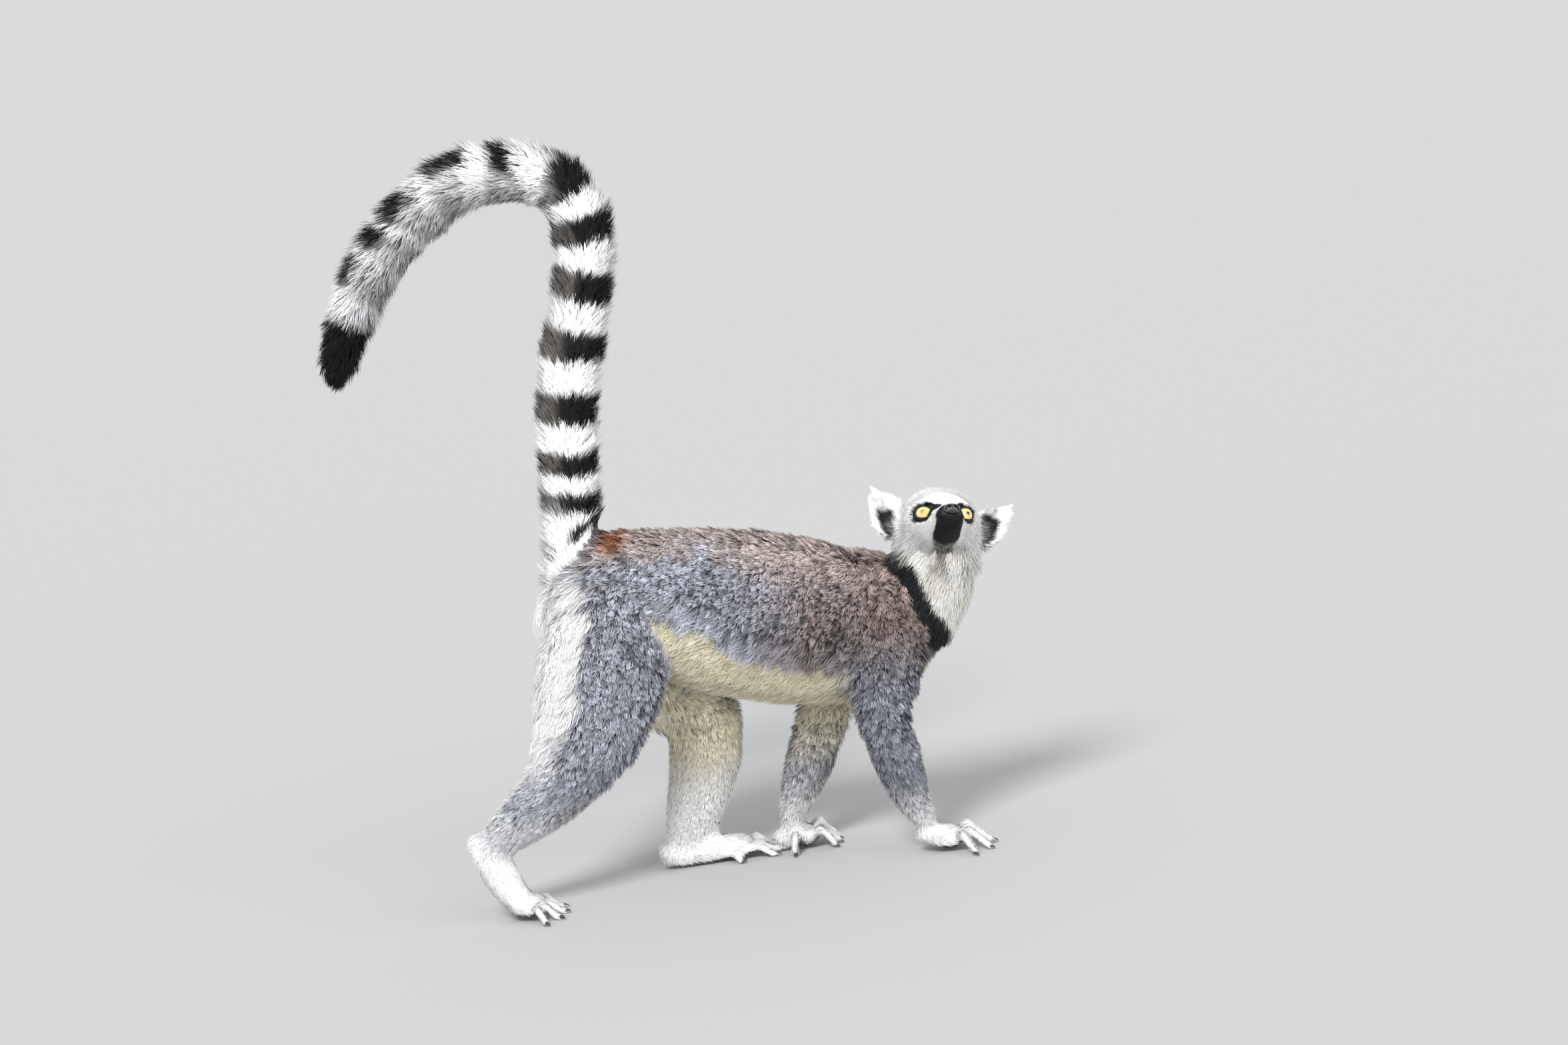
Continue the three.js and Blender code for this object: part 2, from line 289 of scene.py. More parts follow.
def add_surroundings():
    """The pale floor, the key sun from the upper left, the fill from the right, and the pale air."""
    corners = np.array([[-1, -1, 0], [1, -1, 0], [1, 1, 0], [-1, 1, 0]]) * FLOOR_REACH
    floor = make_mesh("floor", corners, [[0, 1, 2, 3]])
    paint = bpy.data.materials.new("floor_paint")
    paint.use_nodes = True
    set_inputs(paint.node_tree.nodes["Principled BSDF"], {"Base Color": FLOOR_GREY, "Roughness": 0.9})
    floor.data.materials.append(paint)
    for name, (toward, strength, angle) in SUNS.items():
        add_light(name, toward, strength, angle)
    world = bpy.data.worlds.new("air")
    world.use_nodes = True
    set_inputs(world.node_tree.nodes["Background"], {"Color": AIR, "Strength": AIR_STRENGTH})
    SCENE.world = world
    SCENE.view_settings.view_transform = "Standard"


# ---- the animal's axes

# How near two nodes meet at a seam, half a waist's share of a node's length, and a path's step.
SEAM_GAP = 2.5
WAIST = 0.17
PATH_STEP = 2.0
# How many places are compared with a path at once.
BATCH = 20000


class Head:
    """The head's own axes, worked out from where the frame has its eyes and nose."""

    EYE_FORWARD = 21.5
    EYE_UP = 1.6
    NOSE_DROP = math.radians(20.3)

    def __init__(self):
        left, right, nose = (box_middle(node_points(n)) for n in ("eye_left", "eye_right", "nose"))
        between = (left + right) / 2
        self.left = unit(left - right)
        self.eye_aside = np.linalg.norm(left - right) / 2
        ahead = nose - between
        ahead = unit(ahead - self.left * (ahead @ self.left))
        above = np.cross(ahead, self.left)
        self.forward = ahead * math.cos(self.NOSE_DROP) + above * math.sin(self.NOSE_DROP)
        self.up = np.cross(self.forward, self.left)
        self.centre = between - self.forward * self.EYE_FORWARD - self.up * self.EYE_UP
        self.axes = np.stack([self.forward, self.left, self.up])

    def inside(self, places):
        """Places as forward, left and up of the head's centre."""
        return (places - self.centre) @ self.axes.T

    def outside(self, inner):
        """Forward, left and up of the head's centre as places."""
        return self.centre + np.asarray(inner) @ self.axes

    def turn(self, ways):
        """Directions given as forward, left and up, in the frame's axes."""
        return np.asarray(ways) @ self.axes


HEAD = Head()


def seam(a, b):
    """The middle of the CAD seam where node a meets node b."""
    points, others = node_points(a), node_points(b)
    near = tree_of(others, range(len(others)))
    gaps = np.array([near.find(p)[2] for p in points])
    close = points[gaps < max(SEAM_GAP, gaps.min() * 1.5)]
    return box_middle(close)


def tip(name, start):
    """The vertex of a node that lies farthest from start."""
    points = node_points(name)
    return points[np.argmax(lengths(points - start))]


def middle(name, start, end):
    """The middle of a node's waist, half way from start to end."""
    points = node_points(name)
    along = (points - start) @ (end - start) / ((end - start) @ (end - start))
    return box_middle(points[np.abs(along - 0.5) < WAIST])


def smooth_path(knots):
    """A Catmull-Rom curve through the knots, as points about PATH_STEP apart."""
    knots = np.asarray(knots)
    ends = np.vstack([2 * knots[0] - knots[1], knots, 2 * knots[-1] - knots[-2]])
    points = []
    for a, b, c, d in zip(ends[:-3], ends[1:-2], ends[2:-1], ends[3:]):
        count = max(2, int(lengths(c - b) / PATH_STEP))
        t = np.linspace(0, 1, count, endpoint=False)[:, None]
        bend = -a + 3 * b - 3 * c + d
        points.append((2 * b + (c - a) * t + (2 * a - 5 * b + 4 * c - d) * t**2 + bend * t**3) / 2)
    return np.vstack([*points, knots[-1:]])


class Axis:
    """A centreline: its points, directions, and the length along it."""

    def __init__(self, knots):
        self.points = smooth_path(knots)
        self.ways = unit(np.gradient(self.points, axis=0))
        steps = lengths(np.diff(self.points, axis=0))
        self.along = np.concatenate([[0], np.cumsum(steps)])

    def nearest(self, places):
        """Index of the nearest point of the centreline to each place."""
        picked = np.empty(len(places), int)
        for start in range(0, len(places), BATCH):
            part = places[start : start + BATCH]
            gaps = ((part[:, None, :] - self.points[None]) ** 2).sum(axis=2)
            picked[start : start + BATCH] = gaps.argmin(axis=1)
        return picked


def chain_axis(names, start, end):
    """The centreline through a row of nodes: every seam between them and every waist."""
    knots = [start]
    for this, after in zip(names, [*names[1:], None]):
        stop = end if after is None else seam(this, after)
        knots += [middle(this, knots[-1], stop), stop]
    return Axis(knots)


def limb_axes(side):
    """Centrelines of a hind leg, a foreleg and each of their digits, by the node they serve."""
    axes = {}
    for upper, lower, end, digit, root in (
        ("thigh", "shank", "foot", "toe", "rump"),
        ("upper_arm", "forearm", "hand", "finger", "chest"),
    ):
        names = [f"{part}_{side}" for part in (upper, lower, end)]
        digits = nodes_from(f"{digit}_{side}")
        roots = [seam(n, names[-1]) for n in digits]
        limb = chain_axis(names, seam(names[0], root), np.mean(roots[1:], axis=0))
        axes.update({n: limb for n in names})
        for n, start in zip(digits, roots):
            axes[n] = Axis([start, (start + tip(n, start)) / 2, tip(n, start)])
    return axes


def all_axes():
    """The centreline that each flesh node lies round."""
    names = ["rump", "belly", "chest", "neck"]
    tails = nodes_from("tail")
    rump = node_points("rump")
    rear = np.array([rump[:, 0].min(), 0.0, (rump[:, 2].min() + rump[:, 2].max()) / 2])
    spine = chain_axis(names, rear, seam("neck", "head"))
    tail = chain_axis(tails, seam(tails[0], "rump"), tip(tails[-1], seam(tails[-1], tails[-2])))
    axes = {**dict.fromkeys(names, spine), **dict.fromkeys(tails, tail)}
    for side in SIDES:
        axes.update(limb_axes(side))
    axes["head"] = Axis([HEAD.outside([-30, 0, 0]), HEAD.outside([55, 0, -10])])
    for ear in nodes_from("ear"):
        root = seam(ear, "head")
        axes[ear] = Axis([root, tip(ear, root)])
    return axes


AXES = all_axes()

# ---- the skin

# How much the solids grow before they are fused, the voxels they are fused in, and the coat's depth
# on the muzzle.
GROW = 1.0
VOXEL = 1.9
MUZZLE_DEPTH = 0.8
EYE_RADIUS = 8.4
GAZE = (0.915, 0.355, -0.166)
# Half the eye's opening, outward and upward; how much larger the lids' bare rim is; how far the lids
# stand over the ball, and how far the skin dips under its surface in the opening.
EYE_OPENING = (7.6, 4.5)
LID_BARE = 1.25
LID_THICK = 1.1
SOCKET_DEPTH = 1.6
# The face is split finer: from these distances forward of the head's centre, once for each.
FINE_FROM = (2.0, 12.0)


def flesh_nodes():
    """Every node of flesh; the eyes and the nose are pieces of their own."""
    return [n for n in sorted(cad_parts) if not n.startswith(("eye", "nose"))]


def fused_body():
    """The flesh solids, grown a little and fused into one shell: its vertices and triangles."""
    parts = []
    for name in flesh_nodes():
        unique, back = np.unique(np.round(node_points(name), 2), axis=0, return_inverse=True)
        triangles = back.ravel()[triangles_of(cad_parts[name].data)]
        parts.append((unique + GROW * vertex_normals(unique, triangles), triangles))
    shell = make_mesh("shell", *stacked(*parts))
    remesh = shell.modifiers.new("fuse", "REMESH")
    remesh.mode = "VOXEL"
    remesh.voxel_size = VOXEL * MM
    fused = bpy.data.meshes.new_from_object(shell.evaluated_get(bpy.context.evaluated_depsgraph_get()))
    bpy.data.objects.remove(shell)
    return refined(fused)


def refined(mesh):
    """A mesh with its face region split finer, as vertices and triangles."""
    for forward in FINE_FROM:
        inner = HEAD.inside(places_of(mesh))
        fine = (inner[:, 0] > forward) & (np.abs(inner[:, 1]) < 32) & (np.abs(inner[:, 2]) < 30)
        shape = bmesh.new()
        shape.from_mesh(mesh)
        edges = [e for e in shape.edges if fine[e.verts[0].index] and fine[e.verts[1].index]]
        bmesh.ops.subdivide_edges(shape, edges=edges, cuts=1, use_grid_fill=True)
        shape.to_mesh(mesh)
        shape.free()
    return places_of(mesh), triangles_of(mesh)


def vertex_normals(places, triangles):
    """Unit normals at the vertices, weighted by area."""
    a, b, c = (places[triangles[:, k]] for k in range(3))
    return unit(gathered(np.cross(b - a, c - a), triangles, len(places)))


def gathered(values, faces, count):
    """The sum at each vertex of the values of its faces."""
    total = np.zeros((count, values.shape[1]))
    for corner in faces.T:
        for k in range(values.shape[1]):
            total[:, k] += np.bincount(corner, values[:, k], count)
    return total


def face_edges(faces):
    """Each edge of the faces once, as pairs of vertices."""
    pairs = np.stack([faces, np.roll(faces, -1, axis=1)], axis=2).reshape(-1, 2)
    return np.unique(np.sort(pairs, axis=1), axis=0)


def blurred(values, edges, rounds, share=0.6):
    """Values at the vertices, averaged with their neighbours a number of times."""
    count = len(values)
    a, b = edges.T
    near = np.bincount(a, minlength=count) + np.bincount(b, minlength=count)
    share = np.broadcast_to(np.asarray(share, float), (count,))[:, None]
    for _ in range(rounds):
        total = np.empty_like(values)
        for k in range(values.shape[1]):
            total[:, k] = np.bincount(a, values[b, k], count) + np.bincount(b, values[a, k], count)
        values = values * (1 - share) + share * total / np.maximum(near, 1)[:, None]
    return values


def largest_part(places, faces):
    """Only the largest connected part of a mesh."""
    edges = face_edges(faces)
    mark, last = np.arange(len(places)), None
    while last is None or (mark != last).any():
        last, mark = mark, mark.copy()
        for end in edges.T:
            np.minimum.at(mark, end, last[edges].min(axis=1))
        mark = mark[mark]
    keep = mark == np.bincount(mark).argmax()
    return places[keep], (np.cumsum(keep) - 1)[faces[keep[faces[:, 0]]]]


def nearest_nodes(places):
    """Which flesh node each place is nearest to, as an index into flesh_nodes()."""
    parts = [(node_points(n), triangles_of(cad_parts[n].data)) for n in flesh_nodes()]
    tree = BVHTree.FromPolygons(*(rows.tolist() for rows in stacked(*parts)))
    owner = np.repeat(np.arange(len(parts)), [len(faces) for _, faces in parts])
    return np.array([owner[tree.find_nearest(p)[2]] for p in places.tolist()])


class Site:
    """Places on the skin and what is known at each: arrays that share their first index."""

    def __init__(self, **arrays):
        self.__dict__.update(arrays)

    def at(self, triangles, shares):
        """The same knowledge at points inside triangles, given each corner's share."""
        picked = {}
        for key, value in self.__dict__.items():
            if value.dtype.kind == "f":
                corners = value[triangles]
                weight = shares.reshape(*shares.shape, *[1] * (value.ndim - 1))
                picked[key] = (corners * weight).sum(axis=1)
            else:
                picked[key] = value[triangles[:, 0]]
        for key in ("normal", "lie", "spoke"):
            picked[key] = unit(picked[key])
        return Site(**picked)

    def pick(self, chosen):
        """The same knowledge at only some of the places."""
        return Site(**{key: value[chosen] for key, value in self.__dict__.items()})

    def part(self, *groups):
        """How far each place belongs to these groups of COAT, from 0 to 1."""
        return sum(self.share[:, GROUPS.index(group)] for group in groups)

    def noise(self, size, seed):
        """Noise at each place."""
        return noise(self.place, size, seed)

    def coat(self, key):
        """A number of COAT, blended over the groups."""
        return self.share @ np.array([COAT[g][COAT_KEYS.index(key)] for g in GROUPS])


def survey(places, faces):
    """What the coat and the markings need to know at every vertex of the skin."""
    edges = face_edges(faces)
    names = flesh_nodes()
    node = nearest_nodes(places)
    normal = vertex_normals(places, faces)
    lie, spoke = np.zeros_like(places), np.zeros_like(places)
    along, ahead, radius = np.zeros((3, len(places)))
    for i, name in enumerate(names):
        mine = np.flatnonzero(node == i)
        axis = AXES[name]
        near = axis.nearest(places[mine])
        spoke[mine] = places[mine] - axis.points[near]
        along[mine], ahead[mine] = axis.along[near], axis.along[-1] - axis.along[near]
        radius[mine] = lengths(spoke[mine])
        lie[mine] = hair_way(name, places[mine], axis.ways[near], unit(spoke[mine]))
    group = np.array([GROUPS.index(node_group(n)) for n in names])[node]
    share = blurred(np.eye(len(GROUPS))[group], edges, 12)
    lie = blurred(lie, edges, 14)
    side = np.array([side_of(n) for n in names], float)[node]
    return Site(place=places, normal=normal, lie=unit(lie - normal * dots(lie, normal)[:, None]),
                spoke=unit(spoke), along=along, ahead=ahead, radius=radius, node=node, share=share,
                side=side, inner=HEAD.inside(places))


def hair_way(name, places, ways, spokes):
    """The way a node's hair lies: down a limb, along the tail, back and down on the trunk."""
    if name == "head":
        return head_way(places)
    if name in ("rump", "belly", "chest"):
        return unit(-ways - 0.75 * UP)
    if name == "neck":
        return unit(-ways - 0.25 * UP)
    if name.startswith("ear"):
        return unit(ways + 0.35 * spokes)
    return ways


def head_way(places):
    """From the nose back over the crown, and back and down over the cheeks."""
    inner = HEAD.inside(places)
    crown = ramp(inner[:, 2], -4, 10)
    rise = 0.9 * crown - 0.6 * (1 - crown)
    return HEAD.turn(unit(rows_of(np.full(len(places), -1.0), 0.02 * inner[:, 1], rise)))


def coat_depth(site):
    """How far the skin lies under the solids' surface at each place."""
    depth = site.coat("depth") * (1 - 0.35 * back_share(site))
    slim = np.minimum(0.5 * site.radius, COAT["tail"][COAT_KEYS.index("depth")])
    depth = mix(depth[:, None], slim[:, None], site.part("tail"))[:, 0]
    brow = ramp(site.inner[:, 2], 8, 20)
    start, end = 4 + 14 * brow, 22 + 8 * brow
    face = site.part("head") * ramp((site.inner[:, 0] - start) / (end - start), 0, 1)
    return depth * (1 - face) + MUZZLE_DEPTH * face


def eye_of(side):
    """An eye's middle, and its outward, upward and gaze directions, in the head's axes."""
    gaze = unit(np.array([GAZE[0], GAZE[1] * side, GAZE[2]]))
    outward = unit(np.array([0.0, side, 0.0]) - gaze * gaze[1] * side)
    upward = np.cross(gaze, outward) * side
    return np.array([HEAD.EYE_FORWARD, side * HEAD.eye_aside, HEAD.EYE_UP]), outward, upward, gaze


def round_eye(inner, side):
    """Places from an eye's middle: the way, its length, if it is in front, and 1 at the opening's edge."""
    centre, outward, upward, gaze = eye_of(side)
    off = inner - centre
    ball = unit(off) * EYE_RADIUS
    opening = np.hypot(ball @ outward / EYE_OPENING[0], ball @ upward / EYE_OPENING[1])
    return off, lengths(off), off @ gaze > 0, opening


def fit_sockets(site):
    """Opens the skin over each eye, and raises it into lids that cover the rest of the ball."""
    for side in SIDES.values():
        off, reach, in_front, opening = round_eye(site.inner, side)
        lid = EYE_RADIUS + LID_THICK * (1 + 0.7 * np.exp(-(((opening - 1.3) / 0.2) ** 2)))
        wanted = np.where(opening < 1.06, EYE_RADIUS - SOCKET_DEPTH, np.maximum(reach, lid))
        moved = HEAD.outside(eye_of(side)[0] + unit(off) * wanted[:, None])
        near = in_front & (reach < EYE_RADIUS + 6)
        site.place = np.where(near[:, None], moved, site.place)
        site.inner = HEAD.inside(site.place)


def sculpt_skin():
    """The skin's vertices and triangles, and what is known at them."""
    places, faces = largest_part(*fused_body())
    edges = face_edges(faces)
    site = survey(places, faces)
    fine = np.maximum.reduce([site.part(g) for g in ("ear", "foot", "digit")])
    face = site.part("head") * ramp(site.inner[:, 0], 0, 12)
    firm = np.maximum(fine * 0.8, face * 0.3)
    places = blurred(places, edges, 22, 0.65 * (1 - firm))
    site = survey(places, faces)
    depth = blurred((coat_depth(site) + GROW)[:, None], edges, 8)
    normal = unit(blurred(site.normal, edges, 6))
    site.depth = depth[:, 0] - GROW
    site.place = blurred(places - normal * depth, edges, 3, 0.5 * (1 - firm))
    site.inner = HEAD.inside(site.place)
    fit_sockets(site)
    site.normal = vertex_normals(site.place, faces)
    return site, faces


# ---- markings

WHITE = (0.93, 0.93, 0.92)
IVORY = (0.93, 0.91, 0.84)
CREAM = (0.72, 0.66, 0.49)
GREY = (0.33, 0.34, 0.39)
BROWN = (0.275, 0.21, 0.185)
BACK = (0.38, 0.325, 0.30)
RUST = (0.26, 0.095, 0.042)
CHARCOAL = (0.020, 0.021, 0.024)
BLACK = (0.008, 0.008, 0.009)
MUZZLE = (0.015, 0.015, 0.017)
CAP = (0.20, 0.20, 0.22)
THROAT = (0.11, 0.105, 0.085)
SHADE = (0.47, 0.48, 0.51)
LEATHER = (0.022, 0.021, 0.022)
UNDER_TAIL = (0.07, 0.06, 0.052)
# How much darker the flank grows toward the shoulder and down the foreleg.
FRONT_DARKER = 0.3
# The rust-coloured spot at the tail's root: its ends and its half width.
RUST_SPOT = ((-62, -6, 312), (-62, 6, 312))
RUST_HALF = 20
# Middles of the tail's dark rings along its centreline, and half their thickness.
RINGS = (24, 52, 86, 132, 187, 240, 291, 334, 383, 428, 465, 500, 534)
RING_HALF = (5.5, 8, 10, 13)
TAIL_TIP_BLACK = 572
# How far past its root a tail hair is seen, and how far the first ring slants.
HAIR_DRIFT = 9
FIRST_RING_SLANT = 15
# The dark band from the nape down in front of the shoulder, across the trunk: its middle at two heights.
BAND_TOP = np.array([181.0, 267.0])
BAND_LOW = np.array([198.0, 185.0])
BAND_HALF = 11
# The flank's lower edge: its height at this x, and how it rises behind, straight and curved.
BELLY_FRONT = 104
BELLY_LINE = (179, 0.30, 0.0018)
# The front edge of the white fringe behind the thighs: x at a height, and its slope.
REAR_EDGE = (-104.0, 270.0, 0.28)
# Marks of the face, in the head's axes: grey spots forward, left and up, each with its strength; the
# throat's path forward and up; the eye's patch and its lobe outward and upward of the eye; the ear's
# hollows aside and up.
FACE_SPOTS = (((21.5, 20.0, -12.0), 0.5), ((12.0, 25.0, 19.0), 0.3))
FACE_SPOT_SIZE = 9
THROAT_PATH = ((26.0, -25.0), (-8.0, -42.0))
EYE_PATCH_MIDDLE = (0.2, 0.4)
EYE_PATCH_HALF = (10.8, 8.4)
LOBE = ((-3.0, 3.6), (-14.5, 2.8))
EAR_BLACK = ((37.5, -3.0), (41.5, 11.0))
EAR_GREY = ((42.0, 12.0), (47.5, 27.0))


def to_segment(points, start, end):
    """Distance of each point from a segment, and how far along it the nearest point is."""
    start, end = np.asarray(start), np.asarray(end)
    way = end - start
    t = np.clip((points - start) @ way / (way @ way), 0, 1)
    return lengths(points - start - t[:, None] * way), t


def belly_edge(site):
    """How far below the flank's ragged lower edge each place is."""
    x, z = site.place[:, [0, 2]].T
    behind = np.clip(BELLY_FRONT - x, -60, 124)
    line = BELLY_LINE[0] + BELLY_LINE[1] * behind + BELLY_LINE[2] * behind**2
    return line - z + 5 * site.noise(14, 1) + 3 * site.noise(5, 26)


def belly_reach(site):
    """The length of trunk that the belly's cream fur takes up."""
    ragged = site.place[:, 0] + 5 * site.noise(14, 1)
    return site.part("trunk", "neck") * ramp(ragged, -48, -30)


def belly_share(site):
    """How far each place is in the belly's smooth cream fur."""
    return ramp(belly_edge(site), -4, 5) * belly_reach(site)


def fringe_share(site):
    """How far each place is in the grey fringe that the flank hangs over the belly."""
    edge = belly_edge(site)
    fringe = ramp(edge, -20, -9) * (1 - ramp(edge, -4, 3))
    return fringe * belly_reach(site) * ramp(150 - site.place[:, 0], 0, 15)


def rear_share(site):
    """How far each place is in the white fringe behind the thighs and under the tail."""
    x, z = site.place[:, [0, 2]].T
    limb = site.part("thigh", "shank")
    facing = np.maximum(-site.normal[:, 0] - 0.12, -0.5 * (site.normal[:, 0] + site.spoke[:, 0]) * limb)
    behind = ramp(facing + 0.08 * site.noise(10, 5), 0.27, 0.50) * (1 - site.part("tail"))
    reach = np.maximum(limb * ramp(30 - x, 0, 20), ramp(-70 - x, 0, 20))
    edge = REAR_EDGE[0] + REAR_EDGE[2] * (z - REAR_EDGE[1])
    rump = ramp(edge - x + 4 * site.noise(9, 27), -4, 5) * (1 - site.part("tail"))
    found = np.maximum(behind * reach * ramp(z, 110, 190), rump)
    return found * ramp(z, 95, 170) * (1 - ramp(site.normal[:, 2], 0.6, 0.85))


def back_share(site):
    """How far each place lies on the sleeker fur of the back."""
    nape = ramp(site.place[:, 0], 110, 145) * ramp(site.place[:, 2], 220, 245)
    return np.maximum(ramp(site.spoke[:, 2], 0.55, 0.95), nape) * site.part("trunk")


def throat_share(site):
    """How far each place is in the dusky, mottled patch from the chin down the throat."""
    gap, t = to_segment(site.inner[:, [0, 2]], *THROAT_PATH)
    mottled = (1.2 - 0.95 * t) * (0.85 + 0.45 * site.noise(4, 12))
    aside = 1.1 * site.inner[:, 1]
    return site.part("head", "neck") * ramp(16 - np.hypot(gap, aside), 0, 8) * np.clip(mottled, 0, 1)


def body_colour(site):
    """Brown back and shoulders, blue-grey flanks and limbs, and what lies over them."""
    x, z = site.place[:, [0, 2]].T
    ragged = 5 * site.noise(14, 1)
    patchy = site.noise(26, 2)
    grey = np.asarray(GREY) * (1 + 0.13 * patchy + 0.10 * site.noise(9, 3))[:, None]
    back = ramp(site.spoke[:, 2] + 0.02 * ragged, 0.70, 0.95) * site.part("trunk", "neck")
    shoulder = ramp(x + 2 * ragged, 25, 110) * ramp(z + ragged, 150, 205)
    brown = np.clip(np.maximum(0.8 * back, shoulder) * (0.85 + 0.25 * patchy), 0, 1)
    darker = FRONT_DARKER * ramp(x, 20, 90) * ramp(250 - z, 0, 60)
    colour = layered(grey, (BROWN, brown), (BACK, 0.75 * back)) * (1 - darker)[:, None]
    gap, _ = to_segment(site.place, *RUST_SPOT)
    rust = (RUST, 0.9 * ramp(RUST_HALF - gap, 0, 11))
    return layered(colour, *leg_layers(site, ragged), *front_layers(site, ragged), rust)


def leg_layers(site, ragged):
    """Cream on the belly and inside the legs, white behind the thighs and down to the feet."""
    x, z = site.place[:, [0, 2]].T
    inner_side = -site.side * site.normal[:, 1] + 0.12 * site.noise(12, 4)
    hind = ramp(40 - x, 0, 20)
    reach = np.maximum(hind * ramp(z, 35, 120), (1 - hind) * ramp(z, 70, 125))
    inner_leg = ramp(inner_side, 0.10, 0.5) * (1 - site.part("trunk", "neck")) * reach
    edges = ramp(0.60 + inner_side, 0, 0.35) * site.part("shank")
    return (
        (CREAM, np.maximum(belly_share(site), inner_leg)),
        (IVORY, edges * (1 - inner_leg) * (0.15 + 0.6 * hind)),
        (WHITE, rear_share(site)),
        (WHITE, ramp(118 - z + ragged, 0, 80) * hind * 0.9),
        (WHITE, ramp(80 - z + ragged, 0, 60) * (1 - hind) * 0.75),
    )


def front_layers(site, ragged):
    """The ivory chest, the throat's patch, and the dark band before the shoulder."""
    slope = unit(BAND_LOW - BAND_TOP)
    across = np.array([-slope[1], slope[0]])
    front = (site.place[:, [0, 2]] - BAND_TOP) @ across + 0.5 * ragged
    return (
        (IVORY, ramp(front, 4, 8) * np.clip(site.part("trunk", "neck") * 1.5, 0, 1)),
        (THROAT, throat_share(site)),
        (CHARCOAL, ramp(BAND_HALF - np.abs(front), -2, 3) * ramp(site.place[:, 2], 165, 185)),
    )


def ring_share(along, outer):
    """How far each place is in one of the tail's dark rings."""
    dark = np.zeros(len(along))
    for i, ring in enumerate(RINGS):
        half = RING_HALF[min(i, len(RING_HALF) - 1)]
        slant = FIRST_RING_SLANT * outer * (i == 0)
        dark = np.maximum(dark, 1 - ramp(np.abs(along - ring - slant), half - 2.5, half + 2.5))
    return dark


def tail_colour(site):
    """White with black rings that turn grey on the inner side of the curl, and a black tip."""
    outer = dots(site.spoke, np.cross(LEFT, site.lie)) + 0.15 * site.noise(12, 6)
    along = site.along + 3 * site.noise(6, 7) + HAIR_DRIFT
    dark = ring_share(along, outer)
    curl = ramp(along, 300, 400)
    base = 1 - ramp(along, 30, 60)
    # On the inner side of the curl the white is greyed: painted shade.
    pale = mix(WHITE, SHADE, 0.55 * curl * ramp(0.5 - outer, 0, 0.8))
    inside = layered(pale, (UNDER_TAIL, dark * (0.93 - 0.6 * curl)), (WHITE, base))
    edge = 0.95 * curl + 0.2 * base
    return layered(
        inside,
        (mix(pale, BLACK, dark), ramp(outer - edge, -0.60, -0.15)),
        (BLACK, ramp(along, TAIL_TIP_BLACK - 8, TAIL_TIP_BLACK + 8)),
    )


def eye_patch(inner):
    """How far each place is in the black patch round an eye and toward the muzzle."""
    found = np.zeros(len(inner))
    for side in SIDES.values():
        centre, outward, upward, gaze = eye_of(side)
        off = inner - centre
        flat = rows_of(off @ outward, off @ upward)
        ring = 1 - lengths((flat - EYE_PATCH_MIDDLE) / EYE_PATCH_HALF)
        gap, t = to_segment(flat, *LOBE)
        lobe = (5.5 - 3.3 * t - gap) / 6
        found = np.maximum(found, ramp(np.maximum(ring, lobe), -0.06, 0.08) * (off @ gaze > -4))
    return found


def head_colour(site):
    """A white face with black muzzle and eye patches, a grey cap, grey spots and a dusky throat."""
    inner = site.inner + 0.8 * rows_of(*(site.noise(4, k) for k in (8, 9, 10)))
    forward, left, up = inner.T
    layers = [(CAP, 0.85 * ramp(6 - forward, 0, 12) * ramp(up + 0.3 * forward, 4, 16))]
    for side in SIDES.values():
        for spot, share in FACE_SPOTS:
            gap = lengths(inner - np.array(spot) * [1, side, 1])
            layers.append((SHADE, share * ramp(FACE_SPOT_SIZE - gap, 0, FACE_SPOT_SIZE * 0.7)))
    around = np.arctan2(np.abs(left), -(up + 14))
    edge = 24 + 23 * ramp(around, 0.85, 1.5) + 3 * ramp(around, 1.7, 2.6)
    muzzle = ramp(forward - edge, -4 - 7 * (1 - ramp(around, 0.5, 1.3)), 2)
    layers += [(THROAT, throat_share(site)), (MUZZLE, muzzle), (BLACK, eye_patch(inner))]
    return layered(WHITE, *layers)


def ear_hollow(site, path, size):
    """How far each place is in the ear's hollow, within size of a path aside and up."""
    flat = rows_of(np.abs(site.inner[:, 1]), site.inner[:, 2])
    gap, _ = to_segment(flat + 1.2 * site.noise(4, 14)[:, None], *path)
    facing = ramp(site.normal @ HEAD.forward, 0.0, 0.35)
    return np.clip(1.6 * site.part("ear"), 0, 1) * facing * ramp(size - gap, 0, 4)


def ear_colour(site):
    """White, with a black hollow that turns grey toward the tip."""
    grey = (SHADE, 0.8 * ear_hollow(site, EAR_GREY, 7.5))
    return layered(WHITE, grey, (BLACK, ear_hollow(site, EAR_BLACK, 9.5)))


def foot_colour(site):
    """White, with a little grey in patches."""
    return mix(WHITE, SHADE, 0.12 + 0.3 * ramp(site.noise(11, 13), -0.2, 0.8))


def bare(site):
    """How bare the skin is: soles, finger tips, the rims of the eyes and the nose."""
    low = np.clip(site.part("foot", "digit"), 0, 1)
    sole = low * ramp(-site.normal[:, 2], 0.35, 0.6) * ramp(14 - site.place[:, 2], 0, 3)
    end = site.part("digit") * ramp(6.5 - site.ahead, 0, 2)
    rims = np.zeros(len(site.place))
    for side in SIDES.values():
        _, reach, in_front, opening = round_eye(site.inner, side)
        near = in_front & (reach < EYE_RADIUS + 4)
        rims = np.maximum(rims, near * ramp(LID_BARE - opening, 0, 0.12))
    nose = site.part("head") * ramp(site.inner[:, 0] - 53, 0, 2) * ramp(site.inner[:, 2] + 17, 0, 2)
    return np.maximum.reduce([sole, end, rims, nose])


